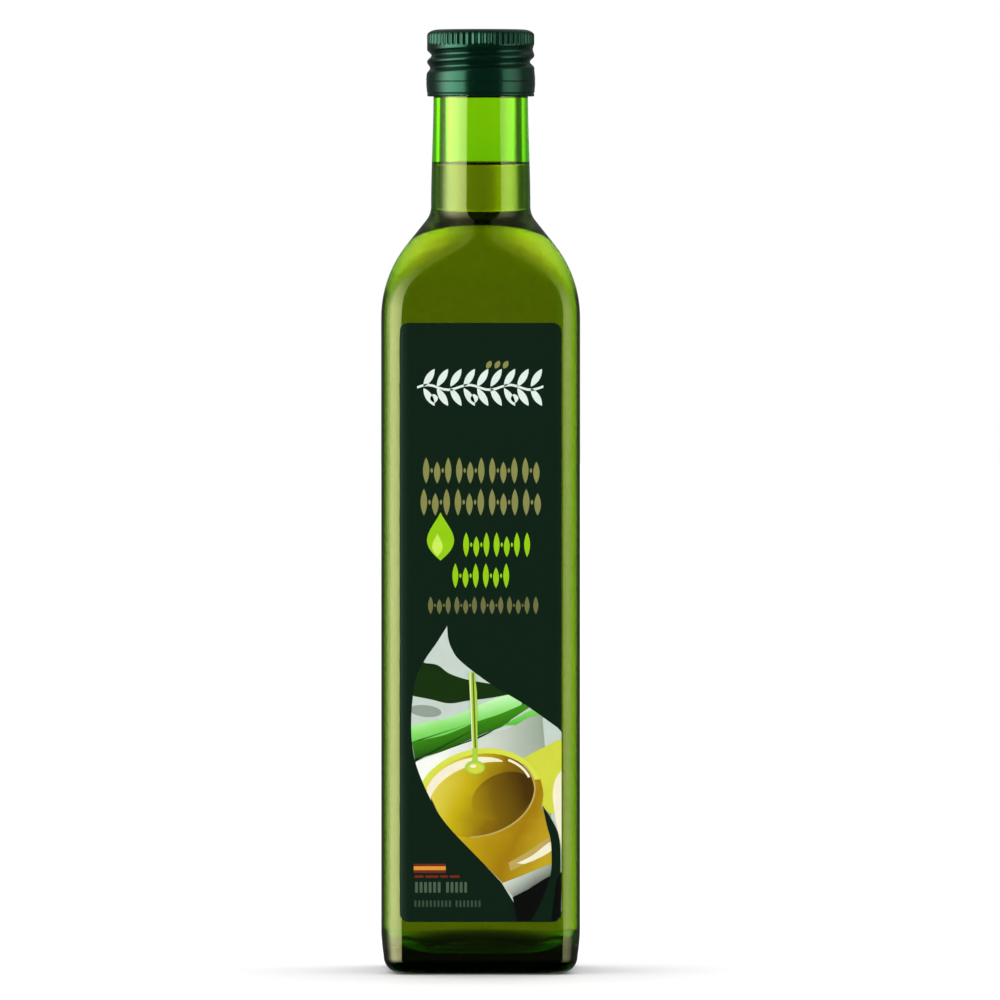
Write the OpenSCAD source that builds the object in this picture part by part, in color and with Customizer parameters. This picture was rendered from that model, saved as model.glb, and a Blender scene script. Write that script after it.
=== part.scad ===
// A square glass bottle of olive oil with a round neck and a rolled metal screw cap.
// Millimetres, +Z up, origin at the centre of the base, the front label faces -Y.

/* [Glass body] */
// Side of the square body, face to face
body_side = 57.2; // [50:0.1:75]
// Radius of the upright corner edges
body_corner_r = 8.3; // [5:0.1:12]
// Wall thickness of the body and shoulder
wall = 3.4; // [2.6:0.1:4]
// Radius of the upright corners inside the glass
inner_corner_r = 6; // [3.5:0.5:9]
// Height at which the straight body ends and the shoulder begins
shoulder_z = 188.6; // [120:0.1:260]

/* [Base] */
// Radius of the rounded edge under the base
heel_r = 5; // [3:0.5:7]
// How far each face pulls in at the heel
heel_inset = 0.7; // [0:0.1:2]
// Height over which the heel pulls in
heel_h = 12.3; // [9:0.1:20]
// Corner radius of the ring the bottle stands on
foot_corner_r = 10; // [8:0.5:16]
// Width of the ring the bottle stands on
foot_w = 2; // [1:0.5:4]
// Height of the hollow under the base
push_up = 3.4; // [1:0.1:4]
// Height of the inner floor at its middle
floor_z = 9.2; // [7:0.1:12]
// How far the inner floor falls from its middle to its edge
floor_crown = 3.2; // [0.5:0.1:4]
// Radius between the inner floor and the wall
floor_r = 7; // [4:0.5:9]

/* [Shoulder] */
// Radius of the shoulder's outer curve, seen from the front
shoulder_r = 34; // [22:0.5:40]
// Steepest lean of the shoulder away from upright
shoulder_lean = 38.5; // [32:0.5:50]
// Radius where the shoulder runs into the neck
neck_fillet_r = 6.5; // [3:0.5:10]
// How far up the shoulder the flat faces reach before it is round
flat_reach = 0.76; // [0.6:0.01:0.95]
// How sharply the flat faces end there
flat_fade = 3.1; // [2:0.1:4]

/* [Neck] */
// Diameter at the foot of the neck
neck_base_d = 28.7; // [27.6:0.1:34]
// Diameter of the neck just under the cap
neck_top_d = 27.3; // [25:0.1:28.6]
// Bore of the neck
bore_d = 20.8; // [16:0.1:21.6]
// Length of bare neck between the shoulder and the cap
neck_h = 31.7; // [22:0.1:45]

/* [Oil] */
// Height of the oil above the foot of the neck
fill_above_neck = 12.7; // [4:0.1:18]

/* [Cap] */
// Outer diameter of the cap
cap_d = 31.5; // [30.8:0.1:38]
// Height of the cap
cap_h = 19.4; // [17.5:0.1:26]
// Thickness of the cap's rolled wall
cap_wall = 0.5; // [0.3:0.05:0.7]
// Thickness of the cap's top with its seal
cap_top_t = 1.2; // [0.8:0.1:2]
// Radius of the cap's top edge
cap_edge_r = 1.8; // [1:0.1:3]
// Gap between the cap's wall and the glass inside it
cap_gap = 0.15; // [0.1:0.05:0.3]
// Depth of the rolled thread grooves
groove_depth = 1.2; // [0.6:0.1:1.4]
// Radius of the rolled thread grooves in section
groove_r = 1.5; // [1.2:0.1:1.7]
// Distance from one thread groove to the next
thread_pitch = 3.6; // [3.2:0.1:5]
// Height of the lowest thread groove above the cap's bottom
groove_h = 8.9; // [8.4:0.1:9.6]
// Height of the tear line above the cap's bottom
tear_h = 4.3; // [3.6:0.1:5]
// Depth of the tear line
tear_depth = 0.15; // [0.1:0.05:0.25]
// How far the cap's lower edge is rolled in
curl = 0.6; // [0.3:0.1:0.8]
// Number of grip grooves round the cap's top
grip_count = 54; // [24:2:72]
// Height of the grip grooves
grip_h = 4.4; // [2:0.1:6]
// Depth of the grip grooves
grip_depth = 0.22; // [0.1:0.01:0.28]

/* [Label] */
// Width of the label
label_w = 46.4; // [30:0.1:50]
// Height of the label's lower edge above the base
label_z = 15.2; // [13:0.1:40]
// Gap between the label's upper edge and the shoulder
label_top_gap = 1.4; // [0.5:0.1:60]
// Corner radius of the label
label_corner_r = 2.6; // [1:0.1:8]
// Thickness of the label
label_t = 0.15; // [0.1:0.05:0.4]

/* [Hidden] */
// Points in a quarter turn, crowded towards the corners
quarter_steps = 14;
corner_crowd = 1.5;
$fn = 96;
cut = 1;

half = body_side / 2;
half_in = half - wall;
foot_half = half - heel_inset - heel_r;
bore_r = bore_d / 2;
shoulder_r_in = shoulder_r - wall;
fillet_r_in = neck_fillet_r + wall;
neck_z = shoulder_top(half, neck_base_d / 2, shoulder_r, neck_fillet_r);
bore_z = shoulder_top(half_in, bore_r, shoulder_r_in, fillet_r_in);
cap_z = neck_z + neck_h;
cap_r = cap_d / 2;
lip_z = cap_z + cap_h - cap_top_t;
fill_z = neck_z + fill_above_neck;
finish_r = cap_r - groove_depth - cap_wall - cap_gap;
bead_r = cap_r - cap_wall - cap_gap;
bead_z = cap_z + 1.7;
bead_h = 1.8;
lip_round = 0.8;
floor_edge_z = floor_z - floor_crown;
label_h = shoulder_z - label_z - label_top_gap;

ANGLES = [
    for (quarter = [0:3])
        for (j = [0:quarter_steps - 1])
            let (u = 2 * j / quarter_steps - 1)
                90 * quarter + 45 + 45 * sign(u) * pow(abs(u), corner_crowd)
];

// Distance from the axis to a rounded square of half-side a and corner radius r, at angle t
function reach(a, r, t) =
    let (u = t % 90, q = min(u, 90 - u), c = a - r)
        a * tan(q) <= c
            ? a / cos(q)
            : c * (cos(q) + sin(q)) + sqrt(max(0, r * r - c * c * (1 - sin(2 * q))));

function mix(a, b, s) = a + (b - a) * s;
function smooth(s) = s * s * (3 - 2 * s);
function reversed(list) = [for (i = [len(list) - 1:-1:0]) list[i]];

// Height at which a shoulder of these sizes becomes the upright neck
function shoulder_top(a_body, a_neck, r_arc, r_fillet) =
    let (turn = 1 - cos(shoulder_lean))
        shoulder_z + (r_arc + r_fillet) * sin(shoulder_lean)
            + (a_body - a_neck - (r_arc + r_fillet) * turn) / tan(shoulder_lean);

// Half length of the flat part of a face, which fades out up the shoulder
function flat_half(c_body, z, z_top) =
    let (s = min(1, max(0, (z - shoulder_z) / (flat_reach * (z_top - shoulder_z)))))
        c_body * pow(1 - pow(s, flat_fade), 2);

// A ring is [height, half-side, corner radius]
function shoulder_ring(z, a, c_body, z_top) = [z, a, a - flat_half(c_body, z, z_top)];

function shoulder_rings(a_body, a_neck, r_arc, r_fillet, c_body, arc_steps) =
    let (
        z_top = shoulder_top(a_body, a_neck, r_arc, r_fillet),
        z_1 = shoulder_z + r_arc * sin(shoulder_lean),
        a_1 = a_body - r_arc * (1 - cos(shoulder_lean)),
        z_2 = z_top - r_fillet * sin(shoulder_lean),
        a_2 = a_neck + r_fillet * (1 - cos(shoulder_lean))
    )
        [
            for (k = [0:arc_steps])
                let (lean = shoulder_lean * k / arc_steps)
                    shoulder_ring(
                        shoulder_z + r_arc * sin(lean), a_body - r_arc * (1 - cos(lean)), c_body, z_top
                    ),
            for (s = [1 / 3, 2 / 3])
                shoulder_ring(mix(z_1, z_2, s), mix(a_1, a_2, s), c_body, z_top),
            for (k = [0:3])
                let (lean = shoulder_lean * (3 - k) / 3)
                    shoulder_ring(
                        z_top - r_fillet * sin(lean), a_neck + r_fillet * (1 - cos(lean)), c_body, z_top
                    )
        ];

// From the middle of the hollow under the base out to the ring the bottle stands on
UNDERSIDE = [
    for (s = [0.3, 0.65, 1])
        let (a = (foot_half - foot_w) * s)
            [push_up * (1 - s * s), a, mix(a, foot_corner_r, s * s)]
];

// Round the heel and up to the straight body
HEEL = [
    for (turn = [0:22.5:90])
        let (z = heel_r * (1 - cos(turn)))
            [z, foot_half + heel_r * sin(turn), mix(foot_corner_r, body_corner_r, smooth(z / heel_h))],
    [heel_h, half, body_corner_r]
];

SHOULDER = shoulder_rings(
    half, neck_base_d / 2, shoulder_r, neck_fillet_r, half - body_corner_r, 7
);

NECK = [
    for (s = [0.33, 0.67, 1])
        let (a = mix(neck_base_d, neck_top_d, smooth(s)) / 2)
            [mix(neck_z, cap_z + 0.9, s), a, a]
];

// The glass inside the cap: the bead that holds the tear ring, the plain finish and the lip
FINISH = [
    [bead_z, bead_r, bead_r],
    [bead_z + bead_h, bead_r, bead_r],
    [bead_z + bead_h + 1, finish_r, finish_r],
    [lip_z - lip_round, finish_r, finish_r],
    [lip_z, finish_r - lip_round, finish_r - lip_round]
];

// Inside of the bottle from its floor to the neck's bore
FLOOR = [
    for (s = [0.35, 0.7])
        let (a = (half_in - floor_r) * s)
            [floor_z - floor_crown * s * s, a, mix(a, inner_corner_r, s * s)],
    for (turn = [0:30:90])
        [
            floor_edge_z + floor_r * (1 - cos(turn)), half_in - floor_r + floor_r * sin(turn),
            mix(foot_corner_r, inner_corner_r, turn / 90)
        ]
];

INSIDE = concat(
    FLOOR,
    shoulder_rings(half_in, bore_r, shoulder_r_in, fillet_r_in, half_in - inner_corner_r, 6)
);

MOUTH = [
    [lip_z, bore_r + lip_round, bore_r + lip_round],
    [lip_z - lip_round, bore_r, bore_r]
];

// A closed solid through a chain of rings, with a flat face over the first and the last.
// With down = true the chain runs downwards round the outside of the solid.
module loft(rings, down = false) {
    n = len(ANGLES);
    last = len(rings) - 1;
    points = [
        for (ring = rings)
            for (t = ANGLES)
                let (d = reach(ring[1], ring[2], t))
                    [d * cos(t), d * sin(t), ring[0]]
    ];
    sides = [
        for (k = [0:last - 1])
            for (i = [0:n - 1])
                let (a = k * n + i, b = k * n + (i + 1) % n, c = a + n, d = b + n)
                    for (face = [[a, d, b], [a, c, d]])
                        face
    ];
    ends = [[for (i = [0:n - 1]) i], [for (i = [n - 1:-1:0]) last * n + i]];
    faces = concat(sides, ends);
    polyhedron(points, down ? [for (face = faces) reversed(face)] : faces, convexity = 6);
}

module glass() {
    color([0.42, 0.6, 0.05, 0.55])
        loft(concat(UNDERSIDE, HEEL, SHOULDER, NECK, FINISH, MOUTH, reversed(INSIDE)));
}

module oil() {
    color([0.72, 0.7, 0.1])
        loft(concat([[fill_z, bore_r, bore_r]], reversed(INSIDE)), down = true);
}

// Half section of the cap's shell, with its own bottom edge at height 0
module cap_section() {
    difference() {
        union() {
            difference() {
                intersection() {
                    square([cap_r, cap_h]);
                    union() {
                        square([cap_r - cap_edge_r, cap_h]);
                        square([cap_r, cap_h - cap_edge_r]);
                        translate([cap_r - cap_edge_r, cap_h - cap_edge_r])
                            circle(cap_edge_r);
                    }
                }
                translate([-cut, -cut])
                    square([cap_r - cap_wall + cut, cap_h - cap_top_t + cut]);
            }
            intersection() {
                square([cap_r, cap_h]);
                for (turn = [0, 1])
                    translate([cap_r + groove_r - groove_depth, groove_h + turn * thread_pitch])
                        circle(groove_r + cap_wall);
            }
            polygon([
                [cap_r - cap_wall - curl, 0], [cap_r - curl, 0], [cap_r, curl], [cap_r, curl + cap_wall],
                [cap_r - cap_wall, curl + cap_wall]
            ]);
        }
        for (turn = [0, 1])
            translate([cap_r + groove_r - groove_depth, groove_h + turn * thread_pitch])
                circle(groove_r);
        translate([cap_r, tear_h])
            circle(tear_depth);
        polygon([[cap_r - curl, -cut], [cap_r - curl, 0], [cap_r, curl], [cap_r + cut, curl], [cap_r + cut, -cut]]);
    }
}

module cap() {
    grip_r = 0.5;
    grip_z = cap_h - cap_edge_r * 0.6 - grip_h;
    color([0.02, 0.24, 0.18])
        translate([0, 0, cap_z])
            difference() {
                rotate_extrude()
                    cap_section();
                for (k = [0:grip_count - 1])
                    rotate(360 * k / grip_count)
                        translate([cap_r + grip_r - grip_depth, 0, grip_z])
                            cylinder(r = grip_r, h = grip_h, $fn = 24);
            }
}

// A rounded rectangle about its centre
module rounded_rectangle(size, r) {
    square([size[0] - 2 * r, size[1]], center = true);
    square([size[0], size[1] - 2 * r], center = true);
    for (x = [-1, 1])
        for (y = [-1, 1])
            translate([x * (size[0] / 2 - r), y * (size[1] / 2 - r)])
                circle(r);
}

// A thin sheet that lies on the front face and bends a little way round its corners
module front_label() {
    color([0.05, 0.14, 0.08])
        intersection() {
            translate([0, 0, label_z])
                linear_extrude(label_h)
                    difference() {
                        rounded_rectangle([body_side + 2 * label_t, body_side + 2 * label_t], body_corner_r + label_t);
                        rounded_rectangle([body_side, body_side], body_corner_r);
                    }
            translate([0, 0, label_z + label_h / 2])
                rotate([90, 0, 0])
                    linear_extrude(half + cut)
                        rounded_rectangle([label_w, label_h], label_corner_r);
        }
}

glass();
oil();
cap();
front_label();
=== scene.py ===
"""Looks for a square bottle of olive oil: glass, oil, rolled cap and printed label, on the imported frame."""

import math

import bmesh
import bpy
import numpy as np
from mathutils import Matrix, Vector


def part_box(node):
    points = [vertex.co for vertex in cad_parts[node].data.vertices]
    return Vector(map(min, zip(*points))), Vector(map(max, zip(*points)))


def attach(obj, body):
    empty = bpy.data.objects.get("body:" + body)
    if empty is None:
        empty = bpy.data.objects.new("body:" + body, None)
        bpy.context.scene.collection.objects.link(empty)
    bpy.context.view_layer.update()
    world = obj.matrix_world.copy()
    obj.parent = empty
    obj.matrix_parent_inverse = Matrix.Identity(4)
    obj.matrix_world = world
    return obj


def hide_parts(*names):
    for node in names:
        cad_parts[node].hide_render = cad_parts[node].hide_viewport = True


MM = 0.001


def box_mm(node):
    """Lowest and highest corner of a CAD node, in millimetres."""
    low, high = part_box(node)
    return np.array(low) / MM, np.array(high) / MM


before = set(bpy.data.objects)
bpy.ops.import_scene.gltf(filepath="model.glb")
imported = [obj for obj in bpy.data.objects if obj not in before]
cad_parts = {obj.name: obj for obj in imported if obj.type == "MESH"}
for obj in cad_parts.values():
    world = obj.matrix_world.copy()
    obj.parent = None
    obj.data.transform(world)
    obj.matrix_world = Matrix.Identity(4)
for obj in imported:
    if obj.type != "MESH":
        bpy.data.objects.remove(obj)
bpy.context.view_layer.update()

# ---------------------------------------------------------------- sizes, in millimetres

_, glass_high = box_mm("glass")
oil_low, oil_high = box_mm("oil")
cap_low, cap_high = box_mm("cap")
label_low, label_high = box_mm("front_label")

HALF = glass_high[0]
LIP_Z = glass_high[2]
HALF_IN = oil_high[0]
WALL = HALF - HALF_IN
FILL_Z = oil_high[2]
CAP_R = cap_high[0]
CAP_Z = cap_low[2]
CAP_H = cap_high[2] - CAP_Z
LABEL_HALF = label_high[0]
LABEL_Z = label_low[2]
LABEL_H = label_high[2] - LABEL_Z

CORNER_R = 8.3
INNER_CORNER_R = 6.0
SHOULDER_Z = 188.6
HEEL_R = 5.0
HEEL_INSET = 0.7
HEEL_H = 12.3
FOOT_CORNER_R = 6.8
FOOT_W = 2.0
FOOT_HALF = HALF - HEEL_INSET - HEEL_R
PUSH_UP = 3.4
FLOOR_EDGE_Z = oil_low[2]
FLOOR_CROWN = 3.2
FLOOR_R = 7.0
SHOULDER_R = 34.0
SHOULDER_LEAN = math.radians(38.5)
NECK_FILLET_R = 6.5
FLAT_REACH = 0.76
FLAT_FADE = 3.1
NECK_BASE_R = 14.35
NECK_TOP_R = 13.65
BORE_R = 10.4
FINISH_R = 13.9
BEAD_R = 15.1
LIP_ROUND = 0.8
NECK_END_H, BEAD_LOW_H, BEAD_HIGH_H, FINISH_H = 0.9, 1.7, 3.5, 4.5
RIPPLE = 0.07
QUARTER_STEPS = 44
CORNER_CROWD = 1.4
OIL_INTO_WALL = 0.15
CREEP_H, CREEP_W = 1.2, 1.1


# ---------------------------------------------------------------- bottle outline


def mix(a, b, s):
    return a + (b - a) * s


def smooth(s):
    s = np.clip(s, 0.0, 1.0)
    return s * s * (3 - 2 * s)


def turn_angles(per_quarter, crowd):
    """Angles round the axis, crowded towards the four corners."""
    u = np.arange(per_quarter) * 2 / per_quarter - 1
    quarter = 45 + 45 * np.sign(u) * np.abs(u) ** crowd
    return np.radians(np.concatenate([quarter + 90 * k for k in range(4)]))


def reach(a, r, t):
    """Distance from the axis to a rounded square of half-side a and corner radius r, at angle t."""
    u = t % (math.pi / 2)
    q = np.minimum(u, math.pi / 2 - u)
    c = a - r
    on_corner = np.sqrt(np.maximum(0, r * r - c * c * (1 - np.sin(2 * q))))
    return np.where(a * np.tan(q) <= c, a / np.cos(q), c * (np.cos(q) + np.sin(q)) + on_corner)


def shoulder_top(a_body, a_neck, r_arc, r_fillet):
    """Height at which a shoulder of these sizes becomes the upright neck."""
    run = a_body - a_neck - (r_arc + r_fillet) * (1 - math.cos(SHOULDER_LEAN))
    return SHOULDER_Z + (r_arc + r_fillet) * math.sin(SHOULDER_LEAN) + run / math.tan(SHOULDER_LEAN)


def shoulder_rings(a_body, a_neck, r_arc, r_fillet, c_body, steps=(30, 8, 12)):
    """Rings (height, half-side, corner radius) over the arc, the slope and the fillet of a shoulder."""
    z_top = shoulder_top(a_body, a_neck, r_arc, r_fillet)
    sin_lean, turn = math.sin(SHOULDER_LEAN), 1 - math.cos(SHOULDER_LEAN)
    path = []
    for k in range(steps[0] + 1):
        lean = SHOULDER_LEAN * k / steps[0]
        path.append((SHOULDER_Z + r_arc * math.sin(lean), a_body - r_arc * (1 - math.cos(lean))))
    start = path[-1]
    end = (z_top - r_fillet * sin_lean, a_neck + r_fillet * turn)
    for k in range(1, steps[1]):
        path.append((mix(start[0], end[0], k / steps[1]), mix(start[1], end[1], k / steps[1])))
    for k in range(steps[2] + 1):
        lean = SHOULDER_LEAN * (1 - k / steps[2])
        path.append((z_top - r_fillet * math.sin(lean), a_neck + r_fillet * (1 - math.cos(lean))))
    rings = []
    for z, a in path:
        s = min(1.0, (z - SHOULDER_Z) / (FLAT_REACH * (z_top - SHOULDER_Z)))
        rings.append((z, a, a - c_body * (1 - s**FLAT_FADE) ** 2))
    return rings


def outside_rings():
    """From the middle of the hollow under the base, round the heel and up to the lip."""
    rings = []
    for s in np.linspace(0.06, 1, 22):
        a = (FOOT_HALF - FOOT_W) * s
        rings.append((PUSH_UP * (1 - s * s), a, mix(a, FOOT_CORNER_R, s * s)))
    for turn in np.linspace(0, math.pi / 2, 16):
        z = HEEL_R * (1 - math.cos(turn))
        corner = mix(FOOT_CORNER_R, CORNER_R, smooth(z / HEEL_H))
        rings.append((z, FOOT_HALF + HEEL_R * math.sin(turn), corner))
    for s in np.linspace(0.15, 1, 10):
        z = mix(HEEL_R, HEEL_H, s)
        corner = mix(FOOT_CORNER_R, CORNER_R, smooth(z / HEEL_H))
        rings.append((z, HALF - HEEL_INSET * (1 - s) ** 1.5, corner))
    for z in np.linspace(HEEL_H, SHOULDER_Z, 46)[1:-1]:
        rings.append((z, HALF, CORNER_R))
    rings += shoulder_rings(HALF, NECK_BASE_R, SHOULDER_R, NECK_FILLET_R, HALF - CORNER_R)
    z_neck = rings[-1][0]
    for s in np.linspace(0, 1, 24)[1:]:
        a = mix(NECK_BASE_R, NECK_TOP_R, smooth(s))
        rings.append((mix(z_neck, CAP_Z + NECK_END_H, s), a, a))
    for z, a in (
        (CAP_Z + BEAD_LOW_H, BEAD_R),
        (CAP_Z + BEAD_HIGH_H, BEAD_R),
        (CAP_Z + FINISH_H, FINISH_R),
        (LIP_Z - LIP_ROUND, FINISH_R),
    ):
        rings.append((z, a, a))
    for turn in np.linspace(0, math.pi / 2, 6)[1:]:
        a = FINISH_R - LIP_ROUND * (1 - math.cos(turn))
        rings.append((LIP_Z - LIP_ROUND * (1 - math.sin(turn)), a, a))
    return rings


def inside_rings(grow=0.0):
    """From the middle of the inner floor up to the neck's bore, moved outwards by grow."""
    half_in = HALF_IN + grow
    rings = []
    for s in np.linspace(0.06, 1, 18)[:-1]:
        a = (half_in - FLOOR_R) * s
        z = FLOOR_EDGE_Z + FLOOR_CROWN * (1 - s * s) - grow
        rings.append((z, a, mix(a, FOOT_CORNER_R, s * s)))
    for turn in np.linspace(0, math.pi / 2, 14):
        z = FLOOR_EDGE_Z - grow + FLOOR_R * (1 - math.cos(turn))
        corner = mix(FOOT_CORNER_R, INNER_CORNER_R + grow, turn / (math.pi / 2))
        rings.append((z, half_in - FLOOR_R + FLOOR_R * math.sin(turn), corner))
    z_wall = rings[-1][0]
    for z in np.linspace(z_wall, SHOULDER_Z, 46)[1:-1]:
        rings.append((z, half_in, INNER_CORNER_R + grow))
    shoulder_r, fillet_r = SHOULDER_R - WALL + grow, NECK_FILLET_R + WALL - grow
    rings += shoulder_rings(half_in, BORE_R + grow, shoulder_r, fillet_r, HALF_IN - INNER_CORNER_R)
    return rings


def wall_ripple(t, z):
    """The slow unevenness of the inner wall of blown glass, in millimetres."""
    body = smooth((z - 14) / 20) * smooth((SHOULDER_Z + 24 - z) / 30)
    slow = np.sin(z / 13.0 + 2.1 * np.cos(t + 0.4)) + 0.6 * np.sin(z / 7.3 - 3 * np.cos(2 * t + 1.1))
    return RIPPLE * body * slow


# ---------------------------------------------------------------- mesh makers


def mesh_object(name, points, faces):
    """A smooth-shaded object from points in millimetres."""
    mesh = bpy.data.meshes.new(name)
    mesh.from_pydata([tuple(p) for p in np.asarray(points) * MM], [], faces)
    mesh.update()
    mesh.polygons.foreach_set("use_smooth", [True] * len(mesh.polygons))
    piece = bpy.data.objects.new(name, mesh)
    bpy.context.scene.collection.objects.link(piece)
    return piece


def grid_faces(rows, columns):
    """Quads of a tube of rows x columns points, closed round and capped at both ends."""
    faces = []
    for k in range(rows - 1):
        for i in range(columns):
            j = (i + 1) % columns
            faces.append((k * columns + i, k * columns + j, (k + 1) * columns + j, (k + 1) * columns + i))
    faces.append(tuple(range(columns - 1, -1, -1)))
    faces.append(tuple((rows - 1) * columns + i for i in range(columns)))
    return faces


def ring_points(rings, angles, ripple=None):
    z, a, r = (np.array(column)[:, None] for column in zip(*rings))
    t = angles[None, :]
    d = reach(a, r, t)
    if ripple is not None:
        d = d + ripple(t, z)
    return np.stack([d * np.cos(t), d * np.sin(t), np.broadcast_to(z, d.shape)], axis=-1)


def make_glass():
    """Closed shell of the bottle: up the outside to the lip, then down the mouth and the hollow."""
    angles = turn_angles(QUARTER_STEPS, CORNER_CROWD)
    outer = ring_points(outside_rings(), angles)
    inner = inside_rings()
    mouth = []
    for turn in np.linspace(0, math.pi / 2, 6):
        a = BORE_R + LIP_ROUND * (1 - math.sin(turn))
        mouth.append((LIP_Z - LIP_ROUND * (1 - math.cos(turn)), a, a))
    for s in np.linspace(0, 1, 10)[1:-1]:
        mouth.append((mix(LIP_Z - LIP_ROUND, inner[-1][0], s), BORE_R, BORE_R))
    hollow = ring_points(mouth + inner[::-1], angles, wall_ripple)
    points = np.concatenate([outer, hollow])
    return mesh_object("bottle_glass", points.reshape(-1, 3), grid_faces(len(points), len(angles)))


def make_oil():
    """The oil reaches a little into the wall, and creeps up it where its level meets the glass."""
    angles = turn_angles(QUARTER_STEPS, CORNER_CROWD)
    rings = inside_rings(OIL_INTO_WALL)
    edge = BORE_R + OIL_INTO_WALL
    for s in np.linspace(0, 1, 8)[1:]:
        rings.append((mix(rings[-1][0], FILL_Z, s), edge, edge))
    for x in np.linspace(0, 1, 16)[1:] ** 1.5 * (edge - 1.0):
        rings.append((FILL_Z - CREEP_H * (1 - math.exp(-x / CREEP_W)), edge - x, edge - x))
    points = ring_points(rings, angles, wall_ripple)
    return mesh_object("oil_fill", points.reshape(-1, 3), grid_faces(len(points), len(angles)))


# ---------------------------------------------------------------- cap

GRIP_COUNT = 54
GRIP_LOW, GRIP_HIGH = 14.7, 18.3
GRIP_DEPTH = 0.36
GRIP_INSET = 0.25
THREAD_START_H = 8.2
THREAD_PITCH = 3.6
THREAD_DEPTH = 1.25
THREAD_HALF_W = 1.75
THREAD_FROM, THREAD_TO = -70.0, 585.0
THREAD_FADE = 110.0
BARREL_REACH = 4.2
TEAR_H, TEAR_DEPTH, TEAR_HALF_W = 4.3, 0.2, 0.1
BRIDGE_COUNT = 28
CREASE_H, CREASE_DEPTH, CREASE_HALF_W = 0.85, 0.22, 0.16
CAP_EDGE_R = 1.8
CAP_EDGE_W = 3.6
CAP_SKIN = 0.28


def thread_depth(t, h):
    """Depth of the rolled thread: one right-handed groove that rises from the left round the front."""
    best = np.zeros(np.broadcast(t, h).shape)
    around = np.degrees(t - math.pi) % 360
    for lap in (-360, 0, 360):
        along = around + lap
        offset = (h - THREAD_START_H - THREAD_PITCH * along / 360) / THREAD_HALF_W
        shape = np.where(np.abs(offset) < 1, np.cos(offset * math.pi / 2) ** 2, 0)
        fade = smooth((along - THREAD_FROM) / THREAD_FADE) * smooth((THREAD_TO - along) / THREAD_FADE)
        best = np.maximum(best, THREAD_DEPTH * fade * shape)
    return best


def grip_depth(t, h):
    """Depth of the grip flutes round the top of the cap."""
    flute = (0.5 + 0.5 * np.cos(GRIP_COUNT * t)) ** 1.3
    window = smooth((h - GRIP_LOW) / 0.7) * smooth((GRIP_HIGH + 0.5 - h) / 0.7)
    return GRIP_DEPTH * flute * window


def line_depth(h, at, depth, half_w):
    return depth * np.exp(-(((h - at) / half_w) ** 2))


def skirt_radius(t, h):
    """Outer radius of the cap's side at angle t and height h."""
    barrel = CAP_R - GRIP_INSET * smooth(np.abs(h - TEAR_H) / BARREL_REACH)
    bridges = smooth((np.abs((t * BRIDGE_COUNT / 2 / math.pi) % 1 - 0.5) - 0.02) / 0.05)
    tear = line_depth(h, TEAR_H, TEAR_DEPTH, TEAR_HALF_W) * (0.35 + 0.65 * bridges)
    crease = line_depth(h, CREASE_H, CREASE_DEPTH, CREASE_HALF_W)
    return barrel - tear - crease - thread_depth(t, h) - grip_depth(t, h)


def make_cap():
    """Closed shell of the cap: over the top, down the side, round the lower edge and up inside."""
    t = (np.arange(GRIP_COUNT * 10) * 2 * math.pi / (GRIP_COUNT * 10))[None, :]
    rows = []
    edge_h = CAP_H - CAP_EDGE_R
    flat_r = CAP_R - GRIP_INSET - CAP_EDGE_W

    def add(radius, height):
        level = np.full(t.shape[1], CAP_Z + height)
        rows.append(np.stack([radius * np.cos(t[0]), radius * np.sin(t[0]), level], -1))

    for s in (0.04, 0.3, 0.6, 0.85, 0.97):
        add(np.full(t.shape[1], flat_r * s), CAP_H - 0.05 * s * s)
    for turn in np.linspace(0, math.pi / 2, 10):
        height = edge_h + (CAP_EDGE_R - 0.05) * math.cos(turn)
        add(flat_r + CAP_EDGE_W * math.sin(turn) - grip_depth(t, height)[0] * math.sin(turn), height)
    heights = list(np.arange(edge_h - 0.2, 0.55, -0.2))
    for at, half_w in ((TEAR_H, TEAR_HALF_W), (CREASE_H, CREASE_HALF_W)):
        heights += [at + half_w * k for k in (-1.6, -0.8, 0, 0.8, 1.6)]
    heights = sorted(set(np.round(heights, 3)), reverse=True)
    for height in heights:
        add(skirt_radius(t, height)[0], height)
    low_r = skirt_radius(t, heights[-1])[0]
    for turn in np.linspace(0, math.pi, 9)[1:]:
        add(low_r - 0.3 * (1 - math.cos(turn)), heights[-1] * (1 - math.sin(turn) * 0.98))
    for height in np.linspace(heights[-1] + 0.3, CAP_H - 1.2, 40):
        add(skirt_radius(t, min(height, edge_h))[0] - CAP_SKIN - grip_depth(0, height), height)
    points = np.concatenate([row[None] for row in rows])[::-1]
    return mesh_object("screw_cap", points.reshape(-1, 3), grid_faces(points.shape[0], points.shape[1]))


# ---------------------------------------------------------------- label sheet and plates of print

FLAT_HALF = HALF - CORNER_R
LABEL_CORNER_R = 2.6
LEAF_FULLNESS = 0.8
LABEL_FOOT, LABEL_MIDDLE, LABEL_FACE = -0.05, 0.04, 0.12
PRINT_FOOT = 0.09
PRINT_RISE = 0.025
PICTURE_RISE = 0.04
INK = 0.01
BENDS = [side * (FLAT_HALF + k) for side in (-1, 1) for k in range(3)]


def sheet_point(u, v, lift):
    """A point of the label: u across from its middle, v above its lower edge, lift off the glass."""
    turn = max(0.0, abs(u) - FLAT_HALF) / CORNER_R
    x = math.copysign(min(abs(u), FLAT_HALF) + (CORNER_R + lift) * math.sin(turn), u)
    y = -(FLAT_HALF + (CORNER_R + lift) * math.cos(turn))
    return (x * MM, y * MM, (LABEL_Z + v) * MM)


LABEL_U = FLAT_HALF + CORNER_R * math.asin((LABEL_HALF - FLAT_HALF) / CORNER_R)


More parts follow.
